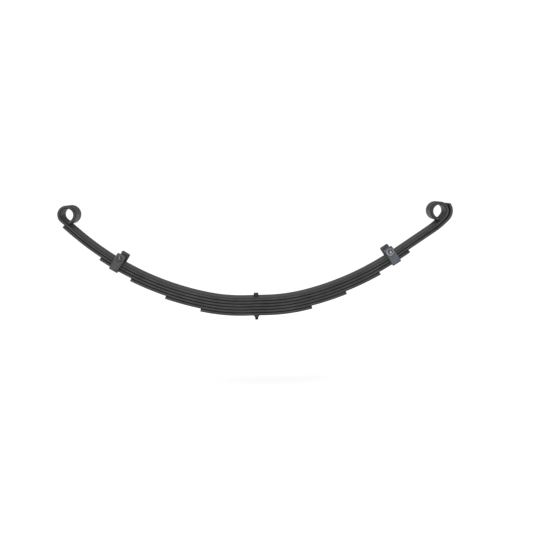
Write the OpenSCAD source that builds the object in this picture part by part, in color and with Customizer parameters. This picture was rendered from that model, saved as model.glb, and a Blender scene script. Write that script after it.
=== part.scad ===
// Semi-elliptic leaf spring: six nested leaves, a centre bolt and two bolted rebound clips.
// +X runs along the spring towards the wrapped eye, +Y across the leaves, and +Z up.
// The origin is on the centre bolt's axis, where its head sits on the main leaf.

/* [Leaves] */
// Width of every leaf
leaf_w = 63.5; // [50:0.5:76]
// Thickness of one leaf
leaf_t = 7.94; // [6:0.01:9]
// Film of paint and air between two leaves
leaf_gap = 0.14; // [0.1:0.01:0.5]

/* [Arch of the main leaf's upper face] */
// Half the length of the flat seat at the centre
seat_half = 30; // [20:1:40]
// Radius of the tighter curve next to the seat
inner_r = 460; // [400:10:600]
// Angle of that curve
inner_angle = 12.5; // [8:0.5:14]
// Radius of the long curve of each arm
outer_r = 760; // [700:10:1000]
// Angle of the long curve on the left arm
left_outer_angle = 30.5; // [26:0.5:34]
// Straight stretch before the left eye
left_straight = 42; // [30:1:60]
// Angle of the long curve on the right arm
right_outer_angle = 20.6; // [18:0.1:26]
// Straight stretch before the right eye
right_straight = 116.5; // [100:0.5:130]
// Radius of the short lead-in bend below the right eye
lead_r = 160; // [140:5:200]
// Angle of the lead-in bend
lead_angle = 17.5; // [10:0.5:18]

/* [Eyes] */
// Inner radius to which each eye is rolled
eye_r = 17.4; // [14:0.1:20]
// Radius reamed away inside the rolled eye
ream = 0.1; // [0.1:0.05:0.4]
// Angle through which the main leaf is rolled
eye_wrap = 308; // [280:1:310]
// Clearance between the right eye and the second leaf's wrap
wrap_gap = 2; // [1:0.1:3]
// Angle of the second leaf's wrap round the right eye
wrap_angle = 80; // [60:1:120]

/* [Leaf ends, as distances along the main leaf] */
// Left end of the second leaf
second_end = 564; // [550:1:570]
// Ends of the third leaf
third_end = 436; // [420:1:450]
// Ends of the fourth leaf
fourth_end = 340; // [330:1:360]
// Ends of the fifth leaf
fifth_end = 239; // [220:1:260]
// Ends of the sixth leaf
sixth_end = 143; // [120:1:160]
// Where each arm's flex hinge stands
hinge_at = 172; // [165:1:200]

/* [Centre bolt] */
// Diameter of the shank
centre_bolt_d = 9.52; // [8:0.01:12]
// Diameter of the hole through the leaves
centre_hole_d = 10.3; // [10:0.1:13]
// Diameter of the round locating head
locating_head_d = 13.2; // [13:0.1:16]
// Height of the locating head above the main leaf
locating_head_h = 10; // [4:0.5:12]
// Nut, across its flats
centre_nut_af = 14.3; // [14:0.1:19]
// Height of the nut
centre_nut_h = 8.5; // [5:0.5:9]
// Diameter of the shallow spot faces under the head and the nut
spot_face_d = 17.2; // [17:0.1:20]
// Depth of the spot faces
spot_face_h = 0.3; // [0.1:0.1:0.5]
// Length of the bolt's end below the nut
centre_bolt_tail = 8; // [2:0.5:9]

/* [Rebound clips] */
// Where each clip stands, along the main leaf
clip_at = 391; // [385:1:400]
// Width of the strap, along the leaf
strap_w = 25; // [20:1:30]
// Thickness of the strap
strap_t = 5; // [4:0.5:6]
// Clearance between a leaf's edge and the strap
strap_side_gap = 1; // [0.5:0.1:2]
// Inner radius of the strap's two bends
strap_bend_r = 1.2; // [0.5:0.1:1.2]
// Height of the clip bolt's axis above the main leaf
clip_bolt_z = 9; // [8.5:0.5:12]
// Height of an ear above the bolt's axis
ear_top = 12.5; // [11:0.5:16]
// Radius of the ears' upper corners
ear_corner_r = 3.5; // [2:0.5:10]
// Diameter of the clip bolt
clip_bolt_d = 7.94; // [7:0.01:8.5]
// Diameter of the clip bolt's domed head
clip_head_d = 16; // [14:0.5:18]
// Height of the domed head
clip_head_h = 4.5; // [3:0.5:5]
// Nut, across its flats
clip_nut_af = 12.7; // [12:0.1:14]
// Height of the nut
clip_nut_h = 6.7; // [5:0.1:8]
// Length of the bolt's end beyond the nut
clip_bolt_tail = 3; // [1:0.5:5]
// Outer diameter of the washer
washer_d = 19.5; // [16:0.5:20]
// Thickness of the washer
washer_t = 1.6; // [1:0.1:2]
// Outer diameter of the spacer sleeve
sleeve_d = 12.7; // [11:0.1:14]
// Bore of the spacer sleeve
sleeve_bore_d = 8.8; // [8.8:0.1:9.5]
// Diameter of the rivet that holds the strap on the third leaf
rivet_d = 8; // [6:0.5:9]
// Diameter of the rivet's domed lower head
rivet_head_d = 15; // [14:0.5:16]
// Height of the rivet's lower head
rivet_head_h = 3.5; // [2:0.5:4]

/* [Hidden] */

paint = [0.13, 0.13, 0.135];
clip_grey = [0.24, 0.24, 0.27];
pitch = leaf_t + leaf_gap;
leaves = 6;
stack_h = (leaves - 1) * pitch + leaf_t;
nut_top = -stack_h + spot_face_h;
arch_step = 1.25; // degrees between two outline points on a long curve
roll_step = 5; // degrees between two outline points on a small curve
small_curve_r = 100; // a curve under this radius takes the finer step
round_fn = 96;
hex_fn = 6;
slip = 0.05; // radial clearance of a fastener in its own hole
past = 1; // how far a cutter runs past what it cuts
lead_in = 0.8; // chamfer on bolt ends and nuts
hair = 0.1; // clearance that keeps a flat strap off a curved leaf
hinge_gap = 0.3; // gap between a leaf's centre and its arm, so that the arm's hinge can turn
hinge_from = hinge_at + hinge_gap / 2;
hinge_to = hinge_at - hinge_gap / 2;

function degrees(length, r) = length / r * 180 / PI;
function arc_length(r, angle) = r * angle * PI / 180;

// Each stretch of an arm is [length, radius], and a radius of 0 is straight.
seat_and_inner = [[seat_half, 0], [arc_length(inner_r, inner_angle), inner_r]];
left_arm = concat(seat_and_inner, [
    [arc_length(outer_r, left_outer_angle), outer_r],
    [left_straight, 0]
]);
right_arm = concat(seat_and_inner, [
    [arc_length(outer_r, right_outer_angle), outer_r],
    [right_straight, 0],
    [arc_length(lead_r, lead_angle), lead_r]
]);
eye_roll = [[arc_length(eye_r, eye_wrap), eye_r]];

// The second leaf leaves the main leaf where the lead-in bend starts, on a wider bend of its own
// that meets the wrap's circle. Distances are from that point on the main leaf's upper face.
eye_ahead = (lead_r - eye_r) * sin(lead_angle);
eye_above = lead_r - (lead_r - eye_r) * cos(lead_angle);
wrap_r = eye_r + leaf_t + wrap_gap;
drop = pitch + eye_above;
wrap_lead_r = (eye_ahead * eye_ahead + drop * drop - wrap_r * wrap_r) / (2 * (drop - wrap_r));
wrap_lead_angle = asin(eye_ahead / (wrap_lead_r - wrap_r));
// These radii are to the wrap's own upper face, and the outline is drawn a pitch below its path.
wrap_arm = concat(
    [for (i = [0 : len(right_arm) - 2]) right_arm[i]],
    [
        [arc_length(wrap_lead_r - pitch, wrap_lead_angle), wrap_lead_r - pitch],
        [arc_length(wrap_r - pitch, wrap_angle), wrap_r - pitch]
    ]
);

function total(path, count) = count == 0 ? 0 : path[count - 1][0] + total(path, count - 1);

// A frame is [x, z, slope in degrees]. advance() moves it along one stretch.
function advance(frame, length, r) =
    r == 0
    ? [frame[0] + length * cos(frame[2]), frame[1] + length * sin(frame[2]), frame[2]]
    : let (turned = frame[2] + degrees(length, r))
      [
          frame[0] + r * (sin(turned) - sin(frame[2])),
          frame[1] - r * (cos(turned) - cos(frame[2])),
          turned
      ];
function station(path, s, i = 0, frame = [0, 0, 0]) =
    s <= path[i][0] || i == len(path) - 1
    ? advance(frame, s, path[i][1])
    : station(path, s - path[i][0], i + 1, advance(frame, path[i][0], path[i][1]));

function parts_in(stretch) =
    stretch[1] == 0 ? 1
    : ceil(degrees(stretch[0], stretch[1]) / (stretch[1] < small_curve_r ? roll_step : arch_step));
function outline_stops(path) = [
    for (i = [0 : len(path) - 1])
        for (k = [0 : parts_in(path[i]) - 1])
            total(path, i) + path[i][0] * k / parts_in(path[i])
];
function stops_between(path, from, to) = concat(
    [from],
    [for (s = outline_stops(path)) if (s > from + hair && s < to - hair) s],
    [to]
);
function below(frame, depth) =
    [frame[0] + depth * sin(frame[2]), frame[1] - depth * cos(frame[2])];
function leaf_outline(path, from, to, number) =
    let (stops = stops_between(path, from, to), top = number * pitch, last = len(stops) - 1)
    concat(
        [for (s = stops) below(station(path, s), top)],
        [for (i = [last : -1 : 0]) below(station(path, stops[i]), top + leaf_t)]
    );

// A solid of the leaf width from an outline in X and Z
module across(outline) {
    rotate([90, 0, 0])
        translate([0, 0, -leaf_w / 2])
            linear_extrude(leaf_w) polygon(outline);
}

// The left arm is drawn as a right arm and mirrored.
module on_side(side) {
    if (side < 0) mirror([1, 0, 0]) children();
    else children();
}

module centre_hole() {
    translate([0, 0, -stack_h - past])
        cylinder(h = stack_h + 2 * past, d = centre_hole_d, $fn = round_fn);
}

module spot_face(z) {
    translate([0, 0, z]) cylinder(h = 2 * spot_face_h, d = spot_face_d, center = true, $fn = round_fn);
}

// The middle of a leaf, out to reach on both sides of the centre bolt
module leaf_centre(number, reach) {
    right_half = leaf_outline(right_arm, 0, reach, number);
    left_half = leaf_outline(left_arm, 0, reach, number);
    half = len(right_half) / 2;
    far = len(left_half) / 2;
    upper = concat(
        [for (i = [far - 1 : -1 : 1]) [-left_half[i][0], left_half[i][1]]],
        [for (i = [0 : half - 1]) right_half[i]]
    );
    lower = concat(
        [for (i = [half : 2 * half - 1]) right_half[i]],
        [for (i = [2 * far - 2 : -1 : far]) [-left_half[i][0], left_half[i][1]]]
    );
    color(paint)
        difference() {
            across(concat(upper, lower));
            centre_hole();
        }
}

module leaf_arm(side, number, to) {
    path = side < 0 ? left_arm : right_arm;
    color(paint) on_side(side) across(leaf_outline(path, hinge_from, to, number));
}

module eye_bore(path) {
    end = station(path, total(path, len(path)));
    centre = below(end, -eye_r);
    translate([centre[0], 0, centre[1]])
        rotate([90, 0, 0])
            cylinder(h = leaf_w + 2 * past, r = eye_r + ream, center = true, $fn = round_fn);
}

module main_leaf_arm(side) {
    arm = side < 0 ? left_arm : right_arm;
    path = concat(arm, eye_roll);
    color(paint)
        on_side(side)
            difference() {
                across(leaf_outline(path, hinge_from, total(path, len(path)), 0));
                eye_bore(arm);
            }
}

// Puts children in a clip's own frame: +X along the leaf and +Z away from its upper face
module at_clip(side) {
    spot = station(side < 0 ? left_arm : right_arm, clip_at);
    on_side(side) translate([spot[0], 0, spot[1]]) rotate([0, -spot[2], 0]) children();
}

third_top = 2 * pitch;
strap_top = 3 * pitch - leaf_gap + hair;
strap_in = leaf_w / 2 + strap_side_gap;
strap_out = strap_in + strap_t;
rivet_flare = 3; // depth and extra radius of the rivet's countersunk upper end
dome_step = 7.5;

// The third leaf's arm, countersunk for the rivet
module third_leaf_arm(side) {
    color(paint)
        difference() {
            leaf_arm(side, 2, third_end);
            at_clip(side) rivet_shape(slip, past);
        }
}

function dome(r, h) =
    let (ball = (r * r + h * h) / (2 * h), half = asin(r / ball), n = ceil(half / dome_step))
    [for (i = [0 : n]) [ball * sin(half * i / n), h - ball * (1 - cos(half * i / n))]];

// The rivet, or with a clearance and an overrun the hole that it goes in
module rivet_shape(clear, over) {
    shank = rivet_d / 2 + clear;
    top = -third_top - hair + over;
    flare_from = -third_top - hair - rivet_flare;
    foot = -strap_top - strap_t;
    rotate_extrude($fn = round_fn)
        polygon([
            [0, foot - over],
            [shank, foot - over],
            [shank, flare_from],
            [shank + rivet_flare, -third_top - hair],
            [shank + rivet_flare, top],
            [0, top]
        ]);
}

module clip_rivet(side) {
    color(clip_grey)
        at_clip(side) {
            difference() {
                union() {
                    rivet_shape(0, 0);
                    translate([0, 0, -strap_top - strap_t])
                        rotate([180, 0, 0])
                            rotate_extrude($fn = round_fn)
                                polygon(concat([[0, -hair], [rivet_head_d / 2, -hair]],
                                    [for (i = [len(rivet_dome) - 1 : -1 : 0]) rivet_dome[i]]));
                }
                translate([0, 0, -strap_top - strap_t])
                    difference() {
                        cylinder(h = hair + past / 2, r = rivet_head_d, $fn = round_fn);
                        translate([0, 0, -past])
                            cylinder(h = 3 * past, r = rivet_d / 2, $fn = round_fn);
                    }
            }
        }
}
rivet_dome = dome(rivet_head_d / 2, rivet_head_h);

function corner(centre, r, from, to) =
    let (n = ceil(abs(to - from) / dome_step))
    [
        for (i = [0 : n])
            let (a = from + (to - from) * i / n) [centre[0] + r * cos(a), centre[1] + r * sin(a)]
    ];

module clip_strap(side) {
    ear_h = clip_bolt_z + ear_top;
    bend_out = strap_bend_r + strap_t;
    foot = -strap_top - strap_t;
    bend_z = -strap_top + strap_bend_r;
    bend_y = strap_in - strap_bend_r;
    right_outer = corner([bend_y, bend_z], bend_out, 0, -90);
    left_outer = corner([-bend_y, bend_z], bend_out, -90, -180);
    left_inner = corner([-bend_y, bend_z], strap_bend_r, -180, -90);
    right_inner = corner([bend_y, bend_z], strap_bend_r, -90, 0);
    ear_side = strap_w / 2;
    ear_in = ear_side - ear_corner_r;
    color(clip_grey)
        at_clip(side)
            difference() {
                intersection() {
                    rotate([90, 0, 90])
                        linear_extrude(strap_w, center = true)
                            polygon(concat([[strap_out, ear_h]], right_outer, left_outer,
                                [[-strap_out, ear_h], [-strap_in, ear_h]],
                                left_inner, right_inner, [[strap_in, ear_h]]));
                    rotate([90, 0, 0])
                        linear_extrude(2 * strap_out + 2 * past, center = true)
                            polygon(concat(
                                [[-ear_side, foot - past], [ear_side, foot - past]],
                                corner([ear_in, ear_h - ear_corner_r], ear_corner_r, 0, 90),
                                corner([-ear_in, ear_h - ear_corner_r], ear_corner_r, 90, 180)));
                }
                translate([0, 0, clip_bolt_z])
                    rotate([90, 0, 0])
                        cylinder(h = 2 * strap_out + 2 * past, r = clip_bolt_d / 2 + 2 * slip,
                            center = true, $fn = round_fn);
                translate([0, 0, foot - past])
                    cylinder(h = strap_t + 2 * past, r = rivet_d / 2 + slip, $fn = round_fn);
            }
}

// Puts children on a clip bolt's axis, with +Z from the strap's outer face towards the nut.
// The left clip's nut is on the far side and the right clip's on the near side.
module on_clip_bolt(side) {
    at_clip(side) translate([0, 0, clip_bolt_z]) rotate([side < 0 ? -90 : 90, 0, 0]) children();
}

module clip_bolt(side) {
    head = dome(clip_head_d / 2, clip_head_h);
    r = clip_bolt_d / 2;
    nut_end = strap_out + washer_t + clip_nut_h + clip_bolt_tail;
    profile = concat(
        [for (point = head) [point[0], -strap_out - point[1]]],
        [[r, -strap_out], [r, nut_end - lead_in], [r - lead_in, nut_end], [0, nut_end]]
    );
    color(clip_grey) on_clip_bolt(side) rotate_extrude($fn = round_fn) polygon(profile);
}

// A hexagon nut with both faces chamfered, standing on z = 0
module hex_nut(af, h, hole_r) {
    corner_r = af / 2 / cos(30);
    difference() {
        intersection() {
            cylinder(h = h, r = corner_r, $fn = hex_fn);
            rotate_extrude($fn = round_fn)
                polygon([
                    [0, 0],
                    [corner_r - lead_in, 0],
                    [corner_r + slip, lead_in],
                    [corner_r + slip, h - lead_in],
                    [corner_r - lead_in, h],
                    [0, h]
                ]);
        }
        translate([0, 0, -past]) cylinder(h = h + 2 * past, r = hole_r, $fn = round_fn);
    }
}

module clip_nut(side) {
    color(clip_grey)
        on_clip_bolt(side)
            translate([0, 0, strap_out + washer_t])
                hex_nut(clip_nut_af, clip_nut_h, clip_bolt_d / 2 + slip);
}

module tube(h, outer_d, inner_d) {
    difference() {
        cylinder(h = h, d = outer_d, $fn = round_fn);
        translate([0, 0, -past]) cylinder(h = h + 2 * past, d = inner_d, $fn = round_fn);
    }
}

module clip_washer(side) {
    color("silver")
        on_clip_bolt(side)
            translate([0, 0, strap_out]) tube(washer_t, washer_d, clip_bolt_d + 4 * slip);
}

module clip_sleeve(side) {
    length = 2 * (strap_in - hair);
    color(clip_grey)
        on_clip_bolt(side) translate([0, 0, -length / 2]) tube(length, sleeve_d, sleeve_bore_d);
}

module main_leaf_centre() {
    color(paint)
        difference() {
            leaf_centre(0, hinge_to);
            spot_face(0);
        }
}
module main_leaf_left() { main_leaf_arm(-1); }
module main_leaf_right() { main_leaf_arm(1); }
module second_leaf_centre() { leaf_centre(1, hinge_to); }
module second_leaf_left() { leaf_arm(-1, 1, second_end); }
module second_leaf_right() {
    color(paint) across(leaf_outline(wrap_arm, hinge_from, total(wrap_arm, len(wrap_arm)), 1));
}
module third_leaf_centre() { leaf_centre(2, hinge_to); }
module third_leaf_left() { third_leaf_arm(-1); }
module third_leaf_right() { third_leaf_arm(1); }
module fourth_leaf_centre() { leaf_centre(3, hinge_to); }
module fourth_leaf_left() { leaf_arm(-1, 3, fourth_end); }
module fourth_leaf_right() { leaf_arm(1, 3, fourth_end); }
module fifth_leaf_centre() { leaf_centre(4, hinge_to); }
module fifth_leaf_left() { leaf_arm(-1, 4, fifth_end); }
module fifth_leaf_right() { leaf_arm(1, 4, fifth_end); }
module sixth_leaf() {
    color(paint)
        difference() {
            leaf_centre(5, sixth_end);
            spot_face(-stack_h);
        }
}

module centre_bolt() {
    r = centre_bolt_d / 2;
    foot = nut_top - centre_nut_h - centre_bolt_tail;
    color(paint)
        rotate_extrude($fn = round_fn)
            polygon([
                [0, foot],
                [r - lead_in, foot],
                [r, foot + lead_in],
                [r, -spot_face_h],
                [locating_head_d / 2, -spot_face_h],
                [locating_head_d / 2, locating_head_h],
                [0, locating_head_h]
            ]);
}

module centre_bolt_nut() {
    color(paint)
        translate([0, 0, nut_top - centre_nut_h])
            hex_nut(centre_nut_af, centre_nut_h, centre_bolt_d / 2 + slip);
}

module left_clip_strap() { clip_strap(-1); }
module left_clip_rivet() { clip_rivet(-1); }
module left_clip_bolt() { clip_bolt(-1); }
module left_clip_nut() { clip_nut(-1); }
module left_clip_washer() { clip_washer(-1); }
module left_clip_sleeve() { clip_sleeve(-1); }
module right_clip_strap() { clip_strap(1); }
module right_clip_rivet() { clip_rivet(1); }
module right_clip_bolt() { clip_bolt(1); }
module right_clip_nut() { clip_nut(1); }
module right_clip_washer() { clip_washer(1); }
module right_clip_sleeve() { clip_sleeve(1); }

main_leaf_centre();
main_leaf_left();
main_leaf_right();
second_leaf_centre();
second_leaf_left();
second_leaf_right();
third_leaf_centre();
third_leaf_left();
third_leaf_right();
fourth_leaf_centre();
fourth_leaf_left();
fourth_leaf_right();
fifth_leaf_centre();
fifth_leaf_left();
fifth_leaf_right();
sixth_leaf();
centre_bolt();
centre_bolt_nut();
left_clip_strap();
left_clip_rivet();
left_clip_bolt();
left_clip_nut();
left_clip_washer();
left_clip_sleeve();
right_clip_strap();
right_clip_rivet();
right_clip_bolt();
right_clip_nut();
right_clip_washer();
right_clip_sleeve();
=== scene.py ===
import math
import bmesh
import bpy
from mathutils import Matrix, Vector


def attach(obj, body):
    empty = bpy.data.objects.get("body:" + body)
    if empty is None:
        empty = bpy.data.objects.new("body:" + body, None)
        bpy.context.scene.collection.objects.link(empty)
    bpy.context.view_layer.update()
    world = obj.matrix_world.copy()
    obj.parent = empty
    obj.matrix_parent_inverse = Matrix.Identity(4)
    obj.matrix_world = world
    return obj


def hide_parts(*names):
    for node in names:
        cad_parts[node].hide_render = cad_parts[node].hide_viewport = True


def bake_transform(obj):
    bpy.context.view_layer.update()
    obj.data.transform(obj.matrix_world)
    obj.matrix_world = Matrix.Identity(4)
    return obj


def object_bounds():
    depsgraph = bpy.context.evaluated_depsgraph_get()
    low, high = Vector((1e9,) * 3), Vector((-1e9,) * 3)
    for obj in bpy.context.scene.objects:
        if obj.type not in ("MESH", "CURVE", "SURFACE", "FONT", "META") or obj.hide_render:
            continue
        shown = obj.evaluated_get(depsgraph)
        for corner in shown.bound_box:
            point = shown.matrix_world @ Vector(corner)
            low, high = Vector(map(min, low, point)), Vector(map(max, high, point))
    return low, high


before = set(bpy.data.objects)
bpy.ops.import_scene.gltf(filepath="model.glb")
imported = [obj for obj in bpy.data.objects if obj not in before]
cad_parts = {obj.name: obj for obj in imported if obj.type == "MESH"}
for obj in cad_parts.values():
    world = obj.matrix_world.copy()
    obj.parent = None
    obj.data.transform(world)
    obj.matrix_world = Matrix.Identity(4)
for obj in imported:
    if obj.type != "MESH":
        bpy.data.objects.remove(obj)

cad_box = [list(corner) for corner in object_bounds()]

# ---------------------------------------------------------------- sizes, in metres

LEAF_W, LEAF_T, PITCH, LEAF_GAP = 0.0635, 0.00794, 0.00808, 0.00014
STACK = 5 * PITCH + LEAF_T
# the arch of each arm as (length, radius) arcs from the centre bolt outwards; a radius of 0 is straight
SEAT = (0.030, 0)
INNER = (0.460 * math.radians(12.5), 0.460)
LEFT = [SEAT, INNER, (0.760 * math.radians(30.5), 0.760), (0.042, 0)]
RIGHT = [SEAT, INNER, (0.760 * math.radians(20.6), 0.760), (0.1165, 0),
         (0.160 * math.radians(17.5), 0.160)]
EYE_R, EYE_WRAP = 0.0174, math.radians(308)
WRAP_GAP, WRAP_ANGLE = 0.002, math.radians(80)
TIPS = {"second": 0.564, "third": 0.436, "fourth": 0.340, "fifth": 0.239, "sixth": 0.143}
ORDER = ["main", "second", "third", "fourth", "fifth", "sixth"]
LEAF_CORNER, LEAF_BEVEL = 0.0022, 0.0007

# centre bolt, its nut and the recesses under both
BOLT_R, BOLT_HEAD_R, BOLT_HEAD_H, BOLT_TAIL = 0.00476, 0.0066, 0.010, 0.008
NUT_AF, NUT_H, NUT_HOLE_R = 0.0143, 0.0085, 0.00481
SPOT_FACE = 0.0003

# clips: how far along the main leaf they sit, and how high their bolts lie above it
CLIP_AT, CLIP_Z = 0.391, 0.009
ROOM = 0.0001
STRAP_W, STRAP_T, STRAP_IN = 0.025, 0.005, 0.03275
STRAP_TOP = 3 * PITCH - LEAF_GAP + ROOM
STRAP_OUT = STRAP_IN + STRAP_T
EAR_ABOVE_BOLT, EAR_R, STRAP_BEND, STRAP_EDGE = 0.0125, 0.0035, 0.0012, 0.0009
CLIP_BOLT_R, CLIP_HEAD_R, CLIP_HEAD_H, CLIP_TAIL = 0.00397, 0.0077, 0.0045, 0.003
CLIP_NUT_AF, CLIP_NUT_H = 0.0127, 0.0067
WASHER_R, WASHER_T = 0.00975, 0.0016
SLEEVE_R, SLEEVE_BORE_R = 0.00635, 0.0044
RIVET_HEAD_R, RIVET_HEAD_H, RIVET_R, SINK_R, SINK_H = 0.0075, 0.0035, 0.004, 0.007, 0.003

FLOOR_BELOW = 0.19


# ---------------------------------------------------------------- the arch

def advance(state, length, radius):
    x, z, a = state
    if not radius:
        return x + length * math.cos(a), z + length * math.sin(a), a
    b = a + length / radius
    return x + radius * (math.sin(b) - math.sin(a)), z - radius * (math.cos(b) - math.cos(a)), b


def station(path, s):
    """(x, z, slope) of the main leaf's upper face at arc length s."""
    state = (0.0, 0.0, 0.0)
    for i, (length, radius) in enumerate(path):
        step = s if i == len(path) - 1 else min(length, s)
        state = advance(state, step, radius)
        s -= step
        if s <= 1e-12:
            break
    return state


def total(path):
    return sum(length for length, radius in path)


def wrapped_path():
    """The second leaf's right arm: out along the main leaf, then round the eye at WRAP_GAP from it."""
    lead, angle = RIGHT[4][1], RIGHT[4][0] / RIGHT[4][1]
    ahead = (lead - EYE_R) * math.sin(angle)
    above = lead - (lead - EYE_R) * math.cos(angle)
    wrap_r = EYE_R + LEAF_T + WRAP_GAP
    drop = PITCH + above
    lead_r = (ahead ** 2 + drop ** 2 - wrap_r ** 2) / (2 * (drop - wrap_r))
    lead_angle = math.asin(ahead / (lead_r - wrap_r))
    return RIGHT[:4] + [((lead_r - PITCH) * lead_angle, lead_r - PITCH),
                        ((wrap_r - PITCH) * WRAP_ANGLE, wrap_r - PITCH)]


def stops(path, end):
    """Arc lengths to put rings at: every 6 mm, and every 4 degrees on a tight curve."""
    out, at = [], 0.0
    for length, radius in path:
        n = max(1, math.ceil(length / 0.006))
        if radius and radius < 0.2:
            n = max(n, math.ceil(math.degrees(length / radius) / 4))
        out += [at + length * k / n for k in range(n + 1)]
        at += length
    kept = [0.0]
    for s in sorted(s for s in out if 0.0012 < s < end - 0.0012):
        if s - kept[-1] > 0.0004:
            kept.append(s)
    return kept + [end]


# ---------------------------------------------------------------- mesh helpers

def finish_mesh(name, bm, material, body, nodes):
    """Makes a piece of bm. A body of None leaves it attached to no body."""
    bmesh.ops.remove_doubles(bm, verts=bm.verts, dist=1e-7)
    bmesh.ops.recalc_face_normals(bm, faces=bm.faces)
    mesh = bpy.data.meshes.new(name)
    bm.to_mesh(mesh)
    bm.free()
    for face in mesh.polygons:
        face.use_smooth = True
    mesh.set_sharp_from_angle(angle=0.6)
    mesh.materials.append(material)
    obj = bpy.data.objects.new(name, mesh)
    bpy.context.scene.collection.objects.link(obj)
    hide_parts(*nodes)
    if body:
        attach(obj, body)
    return obj


def rounded_section(half_w, top, bottom, r, steps=4):
    """Points (y, depth, edge) round a bar's section: edge is 1 in the middle of a rounded corner."""
    points = []
    for cy, cd, a0 in ((half_w - r, top + r, 270), (half_w - r, bottom - r, 0),
                       (-half_w + r, bottom - r, 90), (-half_w + r, top + r, 180)):
        for k in range(steps + 1):
            a = math.radians(a0 + 90 * k / steps)
            edge = 1 - abs(2 * k / steps - 1)
            points.append((cy + r * math.cos(a), cd + r * math.sin(a), edge))
    extra = []
    for i, p in enumerate(points):
        q = points[(i + 1) % len(points)]
        extra.append(p)
        if abs(q[0] - p[0]) > 0.01:
            for k in range(1, 6):
                extra.append((p[0] + (q[0] - p[0]) * k / 6, p[1] + (q[1] - p[1]) * k / 6, 0.0))
    return extra


def leaf_bmesh(side, path, number, end):
    """Half a leaf from the centre bolt to end, as a bar with rounded edges swept along the arch."""
    bm = bmesh.new()
    edge_layer = bm.verts.layers.float.new("edge")
    top, bottom = number * PITCH, number * PITCH + LEAF_T
    rings = []
    sequence = [(s, 0.0, 0.0) for s in stops(path, end)[:-1] if s < end - LEAF_BEVEL - 1e-5]
    for k in range(4):
        a = math.radians(90 * k / 3)
        sequence.append((end - LEAF_BEVEL + LEAF_BEVEL * math.sin(a), LEAF_BEVEL * (1 - math.cos(a)), k / 3))
    for s, inset, tip in sequence:
        x, z, a = station(path, s)
        ring = []
        for y, depth, edge in rounded_section(LEAF_W / 2 - inset, top + inset, bottom - inset,
                                              LEAF_CORNER - inset * 0.6):
            v = bm.verts.new((side * (x + depth * math.sin(a)), y, z - depth * math.cos(a)))
            v[edge_layer] = max(edge, 1 - abs(2 * tip - 1) if tip else 0.0)
            ring.append(v)
        rings.append(ring)
    n = len(rings[0])
    for a, b in zip(rings, rings[1:]):
        for i in range(n):
            bm.faces.new((a[i], a[(i + 1) % n], b[(i + 1) % n], b[i]))
    bm.faces.new(rings[-1])
    bm.faces.new(list(reversed(rings[0])))
    return bm


def frame_at(side):
    """The clip's own frame: +X outwards along the leaf, +Y across it, +Z up from the main leaf."""
    x, z, a = station(LEFT if side < 0 else RIGHT, CLIP_AT)
    matrix = Matrix.Translation((x, 0, z)) @ Matrix.Rotation(-a, 4, "Y")
    if side < 0:
        matrix = Matrix.Scale(-1, 4, (1, 0, 0)) @ matrix
    return matrix


def revolve(bm, profile, segments, matrix, radius_at=None):
    """Rings of a solid of revolution about Z from (radius, z) points. A radius of 0 closes an end.
    radius_at(r, z, angle) may change a ring's radius."""
    rings = []
    for r, z in profile:
        if r == 0:
            rings.append([bm.verts.new(matrix @ Vector((0, 0, z)))])
            continue
        ring = []
        for k in range(segments):
            t = 2 * math.pi * k / segments
            rr = radius_at(r, z, t) if radius_at else r
            ring.append(bm.verts.new(matrix @ Vector((rr * math.cos(t), rr * math.sin(t), z))))
        rings.append(ring)
    return rings


def skin(bm, rings, closed=False):
    pairs = list(zip(rings, rings[1:]))
    if closed:
        pairs.append((rings[-1], rings[0]))
    for a, b in pairs:
        n = max(len(a), len(b))
        for i in range(n):
            j = (i + 1) % n
            if len(a) == 1:
                bm.faces.new((a[0], b[j], b[i]))
            elif len(b) == 1:
                bm.faces.new((a[i], a[j], b[0]))
            else:
                bm.faces.new((a[i], a[j], b[j], b[i]))


def rounded(profile, r, steps):
    """Rounds the corners of a (radius, z) profile, except its two ends."""
    out = [profile[0]]
    for a, b, c in zip(profile, profile[1:], profile[2:]):
        va, vc = Vector(a) - Vector(b), Vector(c) - Vector(b)
        cut = min(r, va.length * 0.45, vc.length * 0.45)
        p, q = Vector(b) + va.normalized() * cut, Vector(b) + vc.normalized() * cut
        for k in range(steps + 1):
            t = k / steps
            out.append(tuple((1 - t) ** 2 * p + 2 * t * (1 - t) * Vector(b) + t ** 2 * q))
    return out + [profile[-1]]


def thread(outer, pitch, z_from, z_to, depth, fade=0.0012):
    """radius_at for a screw thread between z_from and z_to, faded out at both ends."""
    def radius(r, z, t):
        if r < outer * 0.98 or z < min(z_from, z_to) or z > max(z_from, z_to):
            return r
        room = min(abs(z - z_from), abs(z - z_to))
        wave = abs(2 * (((z / pitch) - t / (2 * math.pi)) % 1) - 1)
        return r - depth * wave * min(1, room / fade)
    return radius


def thread_rings(start, stop, step):
    """Heights for a thread's rings, from start towards stop."""
    heights, z = [], start
    while (stop - z) * step > 0:
        heights.append(z)
        z += step
    return heights


def dome(r, h, steps=10):
    """(radius, height) from the middle of a domed head to its rim."""
    ball = (r * r + h * h) / (2 * h)
    half = math.asin(min(1, r / ball))
    return [(ball * math.sin(half * i / steps), h - ball * (1 - math.cos(half * i / steps)))
            for i in range(steps + 1)]


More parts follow.
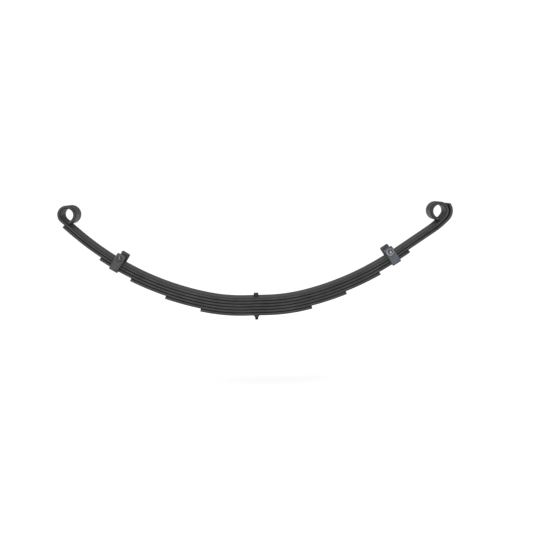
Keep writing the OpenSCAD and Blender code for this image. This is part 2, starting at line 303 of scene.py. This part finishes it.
def hex_nut_bmesh(af, h, hole_r, matrix, segments=96):
    """A hexagon nut standing on z = 0: flats, chamfered ends, rounded corners and a plain hole."""
    bm = bmesh.new()
    corner = af / 2 / math.cos(math.radians(30))
    chamfer, slope, lip = 0.0011, 1.35, 0.0005
    rings = []

    def flat(t):
        t = (t + math.pi / 6) % (math.pi / 3) - math.pi / 6
        return min(af / 2 / math.cos(t), corner * 0.992)

    def chamfered(z):
        limit = corner - max(0.0, chamfer - min(z, h - z)) * slope
        return lambda t: min(flat(t), limit)

    def ring(radius_of, z):
        angles = [2 * math.pi * k / segments for k in range(segments)]
        rings.append([bm.verts.new(matrix @ Vector((radius_of(t) * math.cos(t), radius_of(t) * math.sin(t), z)))
                      for t in angles])

    mouth = [(hole_r, lip), (hole_r + lip, 0), ((hole_r + lip + af / 2 * 0.9) / 2, 0), (af / 2 * 0.93, 0)]
    for r, z in mouth:
        ring(lambda t: r, z)
    for z in (0.0002, 0.0005, 0.0008, chamfer, h / 2, h - chamfer, h - 0.0008, h - 0.0005, h - 0.0002):
        ring(chamfered(z), z)
    for r, z in reversed(mouth):
        ring(lambda t: r, h - z)
    skin(bm, rings, closed=True)
    return bm


def tube_bmesh(h, outer, inner, matrix, ease=0.0003, segments=64):
    """A plain tube standing on z = 0 with eased edges."""
    bm = bmesh.new()
    part = ease * 0.3
    profile = [(inner, ease), (inner + part, part), (inner + ease, 0),
               (outer - ease, 0), (outer - part, part), (outer, ease),
               (outer, h - ease), (outer - part, h - part), (outer - ease, h),
               (inner + ease, h), (inner + part, h - part), (inner, h - ease)]
    skin(bm, revolve(bm, profile, segments, matrix), closed=True)
    return bm


def strap_bmesh(matrix):
    """The clip strap: a flat bar bent into a U, with ears rounded at the top and all its edges eased."""
    bm = bmesh.new()
    ear_h = CLIP_Z + EAR_ABOVE_BOLT
    mid = STRAP_BEND + STRAP_T / 2
    by, bz = STRAP_IN - STRAP_BEND, -STRAP_TOP + STRAP_BEND

    def leg(sign):
        """The middle line down one leg, from the top of its ear to the bend, with its outward normal."""
        zs = [ear_h - EAR_R * (1 - math.cos(math.radians(90 * k / 10))) for k in range(11)]
        zs += [ear_h - EAR_R - (ear_h - EAR_R - bz) * k / 6 for k in range(1, 7)]
        return [(sign * (STRAP_IN + STRAP_T / 2), z, sign, 0) for z in zs]

    def bent(y, start):
        """The middle line round one bend, from an angle of start."""
        angles = [math.radians(start - 90 * k / 8) for k in range(1, 8)]
        return [(y + mid * math.cos(a), bz + mid * math.sin(a), math.cos(a), math.sin(a)) for a in angles]

    under = [(by - 2 * by * k / 8, bz - mid, 0, -1) for k in range(9)]
    line = leg(1) + bent(by, 0) + under + bent(-by, -90) + list(reversed(leg(-1)))
    rings = []
    half_t, r = STRAP_T / 2, STRAP_EDGE
    for y, z, ny, nz in line:
        half_w = STRAP_W / 2
        if z > ear_h - EAR_R:
            half_w = STRAP_W / 2 - EAR_R + math.sqrt(max(0.0, EAR_R ** 2 - (z - ear_h + EAR_R) ** 2))
        ring = []
        for cx, ct, a0 in ((half_w - r, half_t - r, 0), (-half_w + r, half_t - r, 90),
                           (-half_w + r, -half_t + r, 180), (half_w - r, -half_t + r, 270)):
            for k in range(4):
                a = math.radians(a0 + 30 * k)
                px, pt = cx + r * math.cos(a), ct + r * math.sin(a)
                ring.append(bm.verts.new(matrix @ Vector((px, y + ny * pt, z + nz * pt))))
        rings.append(ring)
    skin(bm, rings)
    bm.faces.new(rings[-1])
    bm.faces.new(list(reversed(rings[0])))
    return bm


# ---------------------------------------------------------------- materials

class Nodes:
    """A small helper that adds nodes and links them."""

    def __init__(self, name):
        self.material = bpy.data.materials.new(name)
        self.material.use_nodes = True
        self.tree = self.material.node_tree
        self.shader = self.tree.nodes["Principled BSDF"]
        self.coords = self.add("ShaderNodeTexCoord").outputs["Object"]

    def add(self, kind, **values):
        node = self.tree.nodes.new(kind)
        for key, value in values.items():
            setattr(node, key, value)
        return node

    def link(self, a, b):
        self.tree.links.new(a, b)

    def mapped(self, scale):
        node = self.add("ShaderNodeMapping")
        node.inputs["Scale"].default_value = scale
        self.link(self.coords, node.inputs["Vector"])
        return node.outputs["Vector"]

    def noise(self, scale, detail=4.0, rough=0.55, vector=None):
        node = self.add("ShaderNodeTexNoise")
        node.inputs["Scale"].default_value = scale
        node.inputs["Detail"].default_value = detail
        node.inputs["Roughness"].default_value = rough
        self.link(vector or self.coords, node.inputs["Vector"])
        return node.outputs["Fac"]

    def ramp(self, value, low, high, a=0.0, b=1.0):
        node = self.add("ShaderNodeMapRange")
        for key, v in (("From Min", low), ("From Max", high), ("To Min", a), ("To Max", b)):
            node.inputs[key].default_value = v
        self.link(value, node.inputs["Value"])
        return node.outputs["Result"]

    def math(self, op, a, b):
        node = self.add("ShaderNodeMath", operation=op)
        for socket, v in zip(node.inputs, (a, b)):
            if isinstance(v, (int, float)):
                socket.default_value = v
            else:
                self.link(v, socket)
        return node.outputs["Value"]

    def mix(self, factor, a, b):
        node = self.add("ShaderNodeMix", data_type="RGBA")
        self.link(factor, node.inputs["Factor"])
        for socket, v in ((node.inputs[6], a), (node.inputs[7], b)):
            if isinstance(v, tuple):
                socket.default_value = (*v, 1.0)
            else:
                self.link(v, socket)
        return node.outputs[2]

    def bump(self, height, strength, distance, normal=None):
        node = self.add("ShaderNodeBump")
        node.inputs["Strength"].default_value = strength
        node.inputs["Distance"].default_value = distance
        self.link(height, node.inputs["Height"])
        if normal:
            self.link(normal, node.inputs["Normal"])
        return node.outputs["Normal"]


def paint(name, base, light, dust, rough, dark_edges, specular):
    """Satin paint over steel: orange peel, faint rolling streaks, thin dust and specks, painted shade that
    darkens faces that look up and makes faces that look down nearly black. dark_edges adds painted shade along
    the leaves' rounded edges."""
    n = Nodes(name)
    cloud = n.noise(26.0, 5.0)
    fine = n.noise(420.0, 3.0)
    streak = n.noise(90.0, 4.0, 0.6, n.mapped((0.12, 1.0, 1.0)))
    peel = n.noise(1100.0, 2.0)
    specks = n.noise(700.0, 1.0)
    colour = n.mix(n.ramp(cloud, 0.35, 0.68), base, light)
    colour = n.mix(n.ramp(streak, 0.52, 0.75, 0.0, 0.35), colour, light)
    normal = n.add("ShaderNodeNewGeometry").outputs["Normal"]
    split = n.add("ShaderNodeSeparateXYZ")
    n.link(normal, split.inputs["Vector"])
    upward = n.ramp(split.outputs["Z"], 0.2, 1.0)
    # painted shade: faces that look up are mixed up to 45 % towards a darker copy of the base colour
    colour = n.mix(n.math("MULTIPLY", upward, 0.45), colour, tuple(0.4 * c for c in base))
    dusty = n.math("MULTIPLY", upward, n.ramp(n.noise(70.0, 6.0, 0.65), 0.42, 0.72, 0.0, 0.16))
    colour = n.mix(dusty, colour, dust)
    colour = n.mix(n.ramp(specks, 0.74, 0.78, 0.0, 0.4), colour, dust)
    # painted shade: faces that look down are mixed up to 85 % towards near black
    under = n.ramp(split.outputs["Z"], -0.1, -0.7, 0.0, 0.85)
    colour = n.mix(under, colour, (0.003, 0.003, 0.003))
    if dark_edges:
        # painted shade along the leaves' rounded edges and tip ends, in the gaps between leaves, made patchy by
        # noise
        edge = n.add("ShaderNodeAttribute", attribute_name="edge").outputs["Fac"]
        corners = n.ramp(edge, 0.0, 0.6)
        patchy = n.ramp(n.noise(55.0, 5.0, 0.7), 0.3, 0.7, 1.0, 0.8)
        edge_shade = n.math("MULTIPLY", corners, patchy)
        colour = n.mix(edge_shade, colour, (0.002, 0.002, 0.002))
    n.link(colour, n.shader.inputs["Base Color"])
    mottle = n.math("ADD", n.math("MULTIPLY", cloud, 0.6), n.math("MULTIPLY", fine, 0.4))
    n.link(n.ramp(mottle, 0.3, 0.7, *rough), n.shader.inputs["Roughness"])
    n.shader.inputs["Specular IOR Level"].default_value = specular
    bumped = n.bump(peel, 0.12, 0.0002)
    bumped = n.bump(streak, 0.18, 0.0006, bumped)
    n.link(bumped, n.shader.inputs["Normal"])
    return n.material


def bare_metal(name, base, dark, rough):
    """Plated steel: small spangles, a slight stain and fine marks."""
    n = Nodes(name)
    spangle = n.noise(380.0, 3.0)
    stain = n.noise(120.0, 4.0, 0.65)
    marks = n.noise(1500.0, 2.0, 0.5)
    colour = n.mix(n.ramp(stain, 0.45, 0.75, 0.0, 0.8), base, dark)
    n.link(colour, n.shader.inputs["Base Color"])
    n.shader.inputs["Metallic"].default_value = 1.0
    n.link(n.ramp(spangle, 0.3, 0.7, rough, rough + 0.18), n.shader.inputs["Roughness"])
    n.link(n.bump(marks, 0.15, 0.0001), n.shader.inputs["Normal"])
    return n.material


BLACK = paint("black_satin_paint", (0.024, 0.024, 0.0245), (0.045, 0.045, 0.046), (0.09, 0.088, 0.082),
              (0.42, 0.6), True, 0.22)
CLIP_BLACK = paint("clip_black_paint", (0.018, 0.018, 0.0185), (0.064, 0.064, 0.065),
                   (0.08, 0.078, 0.072), (0.45, 0.62), False, 0.26)
CLIP_GREY = paint("clip_grey_paint", (0.04, 0.044, 0.055), (0.07, 0.077, 0.094), (0.12, 0.12, 0.12),
                  (0.4, 0.55), False, 0.45)
BOLT_DUST = (0.05, 0.049, 0.046)
BOLT_BLACK = paint("bolt_black_finish", (0.012, 0.012, 0.0125), (0.022, 0.022, 0.023), BOLT_DUST,
                   (0.3, 0.45), False, 0.5)
GLOSS_BLACK = paint("bolt_head_gloss_black", (0.014, 0.014, 0.0145), (0.024, 0.024, 0.025), BOLT_DUST,
                    (0.14, 0.26), False, 0.7)
ZINC = bare_metal("zinc_plate", (0.34, 0.345, 0.37), (0.16, 0.16, 0.17), 0.3)


# ---------------------------------------------------------------- leaves

for number, name in enumerate(ORDER):
    for side, word, arm in ((-1, "left", LEFT), (1, "right", RIGHT)):
        if name == "main":
            path = arm + [(EYE_R * EYE_WRAP, EYE_R)]
            end = total(path)
        elif name == "second" and side > 0:
            path = wrapped_path()
            end = total(path)
        else:
            path, end = arm, TIPS[name]
        nodes = ["sixth_leaf"] if name == "sixth" else [f"{name}_leaf_{word}", f"{name}_leaf_centre"]
        obj = finish_mesh(f"{name}_leaf_{word}_half", leaf_bmesh(side, path, number, end), BLACK, None,
                          nodes)
        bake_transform(obj)


# ---------------------------------------------------------------- centre bolt and nut

nut_top = -STACK + SPOT_FACE
foot = nut_top - NUT_H - BOLT_TAIL
head = rounded([(0, BOLT_HEAD_H), (BOLT_HEAD_R, BOLT_HEAD_H), (BOLT_HEAD_R, -SPOT_FACE),
                (BOLT_R, -SPOT_FACE)], 0.0011, 4)
shank = [(BOLT_R, -0.004)]
shank += [(BOLT_R, z) for z in thread_rings(nut_top - 0.0002, foot + 0.0008, -0.00022)]
tip = [(BOLT_R, foot + 0.0008), (0.0043, foot + 0.0003), (0.0039, foot), (0.0, foot)]
bm = bmesh.new()
skin(bm, revolve(bm, head + shank + tip, 64, Matrix.Identity(4),
                 thread(BOLT_R, 0.0013, nut_top, foot + 0.0004, 0.00055)))
finish_mesh("centre_bolt_detailed", bm, BOLT_BLACK, "seat", ["centre_bolt"])
bm = hex_nut_bmesh(NUT_AF, NUT_H, NUT_HOLE_R, Matrix.Translation((0, 0, nut_top - NUT_H)))
finish_mesh("centre_nut_detailed", bm, BOLT_BLACK, "seat", ["centre_bolt_nut"])


# ---------------------------------------------------------------- clips

def make_clip(side):
    """One clip: strap, bolt, nut, washer, sleeve and rivet, all riding their arm."""
    word = "left" if side < 0 else "right"
    body = f"{word}_arm"
    strap_paint = CLIP_BLACK if side < 0 else CLIP_GREY
    bolt_finish = GLOSS_BLACK if side < 0 else ZINC
    at = frame_at(side)
    finish_mesh(f"{word}_strap_bent", strap_bmesh(at), strap_paint, body, [f"{word}_clip_strap"])

    turn = -90 if side < 0 else 90
    axis = at @ Matrix.Translation((0, 0, CLIP_Z)) @ Matrix.Rotation(math.radians(turn), 4, "X")
    r = CLIP_BOLT_R
    end = STRAP_OUT + WASHER_T + CLIP_NUT_H + CLIP_TAIL
    threaded = STRAP_OUT - 0.002
    head = [(p, -STRAP_OUT - q) for p, q in dome(CLIP_HEAD_R, CLIP_HEAD_H)]
    head += [(0.00794, -STRAP_OUT - 0.0003), (0.008, -STRAP_OUT - 0.0001), (0.0078, -STRAP_OUT),
             (r, -STRAP_OUT)]
    shank = [(r, STRAP_OUT - 0.004)] + [(r, z) for z in thread_rings(threaded, end - 0.0008, 0.0002)]
    tip = [(r, end - 0.0008), (r - 0.0004, end - 0.0003), (r - 0.0008, end), (0.0, end)]
    bm = bmesh.new()
    skin(bm, revolve(bm, head + shank + tip, 64, axis, thread(r, 0.0011, threaded, end - 0.0004, 0.0004)))
    finish_mesh(f"{word}_bolt_detailed", bm, bolt_finish, body, [f"{word}_clip_bolt"])

    nut_at = axis @ Matrix.Translation((0, 0, STRAP_OUT + WASHER_T))
    bm = hex_nut_bmesh(CLIP_NUT_AF, CLIP_NUT_H, r + 0.00005, nut_at)
    finish_mesh(f"{word}_nut_detailed", bm, BOLT_BLACK, body, [f"{word}_clip_nut"])
    bm = tube_bmesh(WASHER_T, WASHER_R, r + ROOM, axis @ Matrix.Translation((0, 0, STRAP_OUT)))
    finish_mesh(f"{word}_washer_detailed", bm, ZINC, body, [f"{word}_clip_washer"])
    length = 2 * (STRAP_IN - ROOM)
    sleeve_at = axis @ Matrix.Translation((0, 0, -length / 2))
    bm = tube_bmesh(length, SLEEVE_R, SLEEVE_BORE_R, sleeve_at, 0.0004)
    finish_mesh(f"{word}_sleeve_detailed", bm, BOLT_BLACK, body, [f"{word}_clip_sleeve"])

    rivet_foot = -STRAP_TOP - STRAP_T
    rivet_top = -2 * PITCH - ROOM
    profile = [(p, rivet_foot - q) for p, q in dome(RIVET_HEAD_R, RIVET_HEAD_H)]
    profile += [(RIVET_R, rivet_foot), (RIVET_R, rivet_top - SINK_H), (SINK_R, rivet_top), (0.0, rivet_top)]
    bm = bmesh.new()
    skin(bm, revolve(bm, profile, 64, at))
    finish_mesh(f"{word}_rivet_detailed", bm, strap_paint, body, [f"{word}_clip_rivet"])


for side in (-1, 1):
    make_clip(side)


# ---------------------------------------------------------------- floor, light and camera

def stage_material():
    n = Nodes("pale_floor")
    colour = n.mix(n.ramp(n.noise(6.0, 3.0), 0.3, 0.7), (0.95, 0.95, 0.95), (0.97, 0.97, 0.97))
    n.link(colour, n.shader.inputs["Base Color"])
    n.shader.inputs["Roughness"].default_value = 0.9
    n.shader.inputs["Specular IOR Level"].default_value = 0.1
    return n.material


floor_z = cad_box[0][2] - FLOOR_BELOW
bm = bmesh.new()
bmesh.ops.create_grid(bm, x_segments=8, y_segments=8, size=40.0, matrix=Matrix.Translation((0, 0, floor_z)))
mesh = bpy.data.meshes.new("floor")
bm.to_mesh(mesh)
bm.free()
mesh.materials.append(stage_material())
floor = bpy.data.objects.new("floor", mesh)
bpy.context.scene.collection.objects.link(floor)

# a white world: brighter as the camera sees it than as it lights the spring
world = bpy.data.worlds.new("studio")
bpy.context.scene.world = world
world.use_nodes = True
background = world.node_tree.nodes["Background"]
background.inputs["Color"].default_value = (1.0, 1.0, 1.0, 1.0)
seen = world.node_tree.nodes.new("ShaderNodeLightPath")
level = world.node_tree.nodes.new("ShaderNodeMapRange")
level.inputs["To Min"].default_value = 0.42
level.inputs["To Max"].default_value = 1.08
world.node_tree.links.new(seen.outputs["Is Camera Ray"], level.inputs["Value"])
world.node_tree.links.new(level.outputs["Result"], background.inputs["Strength"])


def soft_light(name, at, target, size, power):
    light = bpy.data.lights.new(name, "AREA")
    light.shape = "RECTANGLE"
    light.size, light.size_y = size
    light.energy = power
    obj = bpy.data.objects.new(name, light)
    obj.location = at
    obj.rotation_euler = (Vector(target) - Vector(at)).to_track_quat("-Z", "Y").to_euler()
    bpy.context.scene.collection.objects.link(obj)


middle = (0.0, 0.0, 0.1)
soft_light("key", (-0.7, -2.0, 1.1), middle, (0.9, 0.5), 24.0)
soft_light("fill", (1.9, -1.2, 1.1), middle, (0.8, 0.8), 7.0)
sky = bpy.data.lights.new("sky", "SUN")
sky.energy = 2.3
sky.angle = math.radians(50)
sky_object = bpy.data.objects.new("sky", sky)
sky_object.rotation_euler = (math.radians(18), math.radians(-8), 0)
bpy.context.scene.collection.objects.link(sky_object)

# a lens of about 51 mm on a 36 mm sensor; the camera looks almost along +Y, a little downwards
SENSOR, LENS_BY_WIDTH = 36.0, 760.0 / 533.0
camera_data = bpy.data.cameras.new("camera")
camera_data.sensor_width = SENSOR
camera_data.lens = LENS_BY_WIDTH * SENSOR
camera_data.clip_end = 60.0
camera = bpy.data.objects.new("camera", camera_data)
pitch_down, roll, yaw = 0.1103, -0.0259, 0.0002
sy, cy, sp, cp, sr, cr = (math.sin(yaw), math.cos(yaw), math.sin(pitch_down), math.cos(pitch_down),
                          math.sin(roll), math.cos(roll))
right0, up0 = Vector((cy, -sy, 0)), Vector((sp * sy, sp * cy, cp))
forward = Vector((cp * sy, cp * cy, -sp))
right_axis, up_axis = cr * right0 + sr * up0, cr * up0 - sr * right0
turned = Matrix((right_axis, up_axis, -forward)).transposed().to_4x4()
camera.matrix_world = Matrix.Translation((0.0304, -2.0757, 0.3120)) @ turned
bpy.context.scene.collection.objects.link(camera)
bpy.context.scene.camera = camera
bpy.context.scene.view_settings.view_transform = "Standard"
